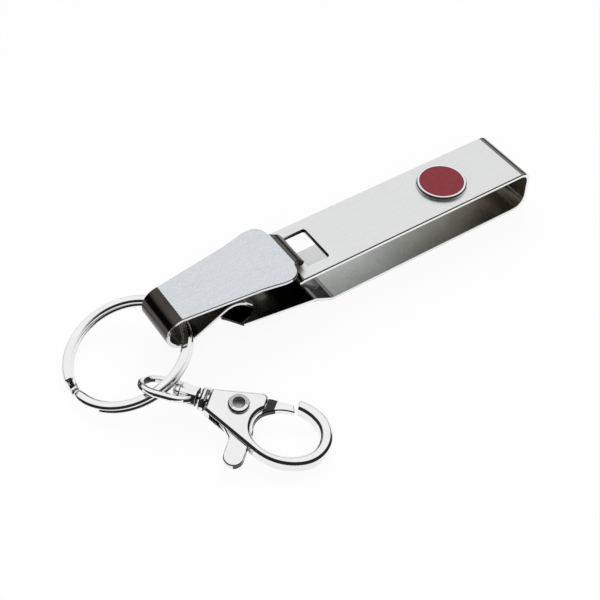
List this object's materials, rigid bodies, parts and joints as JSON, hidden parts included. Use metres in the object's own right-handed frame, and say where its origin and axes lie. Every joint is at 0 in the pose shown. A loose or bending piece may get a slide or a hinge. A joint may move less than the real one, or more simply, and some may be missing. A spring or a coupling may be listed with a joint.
{
  "type": "belt key clip",
  "caption": "Sprung steel belt clip with a hinged key hanger, a split key ring and a swivel snap hook with a sprung trigger gate.",
  "frame": {"origin": "middle of the flat part of the rear plate, on its underside", "axes": "+Z from the rear plate to the front plate, +X along the clip to its closed end, -X to the keys"},
  "size_m": [0.1309, 0.0647, 0.0159],
  "materials": {
    "clip_steel": "satin with bright cut edges",
    "badge_metal": "polished",
    "enamel": "glossy enamel",
    "hanger_steel": "satin with bright cut edges",
    "ring_steel": "polished nickel plate",
    "hook_nickel": "polished nickel plate",
    "spring_steel": "plain wire"
  },
  "bodies": {
    "belt_clip": {"belt_clip": "clip_steel", "badge_plate": "badge_metal", "badge_enamel": "enamel"},
    "key_hanger": {"key_hanger": "hanger_steel"},
    "key_ring": {"key_ring": "ring_steel"},
    "swivel_eye": {"swivel_eye": "hook_nickel"},
    "hook_body": {"hook_body": "hook_nickel", "swivel_rivet": "hook_nickel", "trigger_rivet": "hook_nickel", "trigger_spring": "spring_steel"},
    "trigger_lever": {"trigger_lever": "hook_nickel"}
  },
  "joints": [
    {"name": "hanger_pivot", "type": "hinge", "parent": "belt_clip", "child": "key_hanger", "pos_m": [-0.03585, 0, 0.01125], "axis": [0, 1, 0], "range_deg": [0, 40]},
    {"name": "ring_swing", "type": "hinge", "parent": "key_hanger", "child": "key_ring", "pos_m": [-0.06753, 0, 0.00908], "axis": [0, 1, 0], "range_deg": [-12, 75]},
    {"name": "eye_swing", "type": "hinge", "parent": "key_ring", "child": "swivel_eye", "pos_m": [-0.08024, -0.0148, 0.00644], "axis": [0.961, 0.1274, 0.2454], "range_deg": [-40, 60]},
    {"name": "hook_swivel", "type": "hinge", "parent": "swivel_eye", "child": "hook_body", "pos_m": [-0.06835, -0.028, 0.00468], "axis": [0.6659, -0.7395, -0.0988], "continuous": true},
    {"name": "trigger", "type": "hinge", "parent": "hook_body", "child": "trigger_lever", "pos_m": [-0.06835, -0.028, 0.00468], "axis": [-0.0011, 0.1315, -0.9913], "range_deg": [0, 25], "stiffness_Nm_per_rad": 0.02, "springref_deg": -17.19}
  ]
}
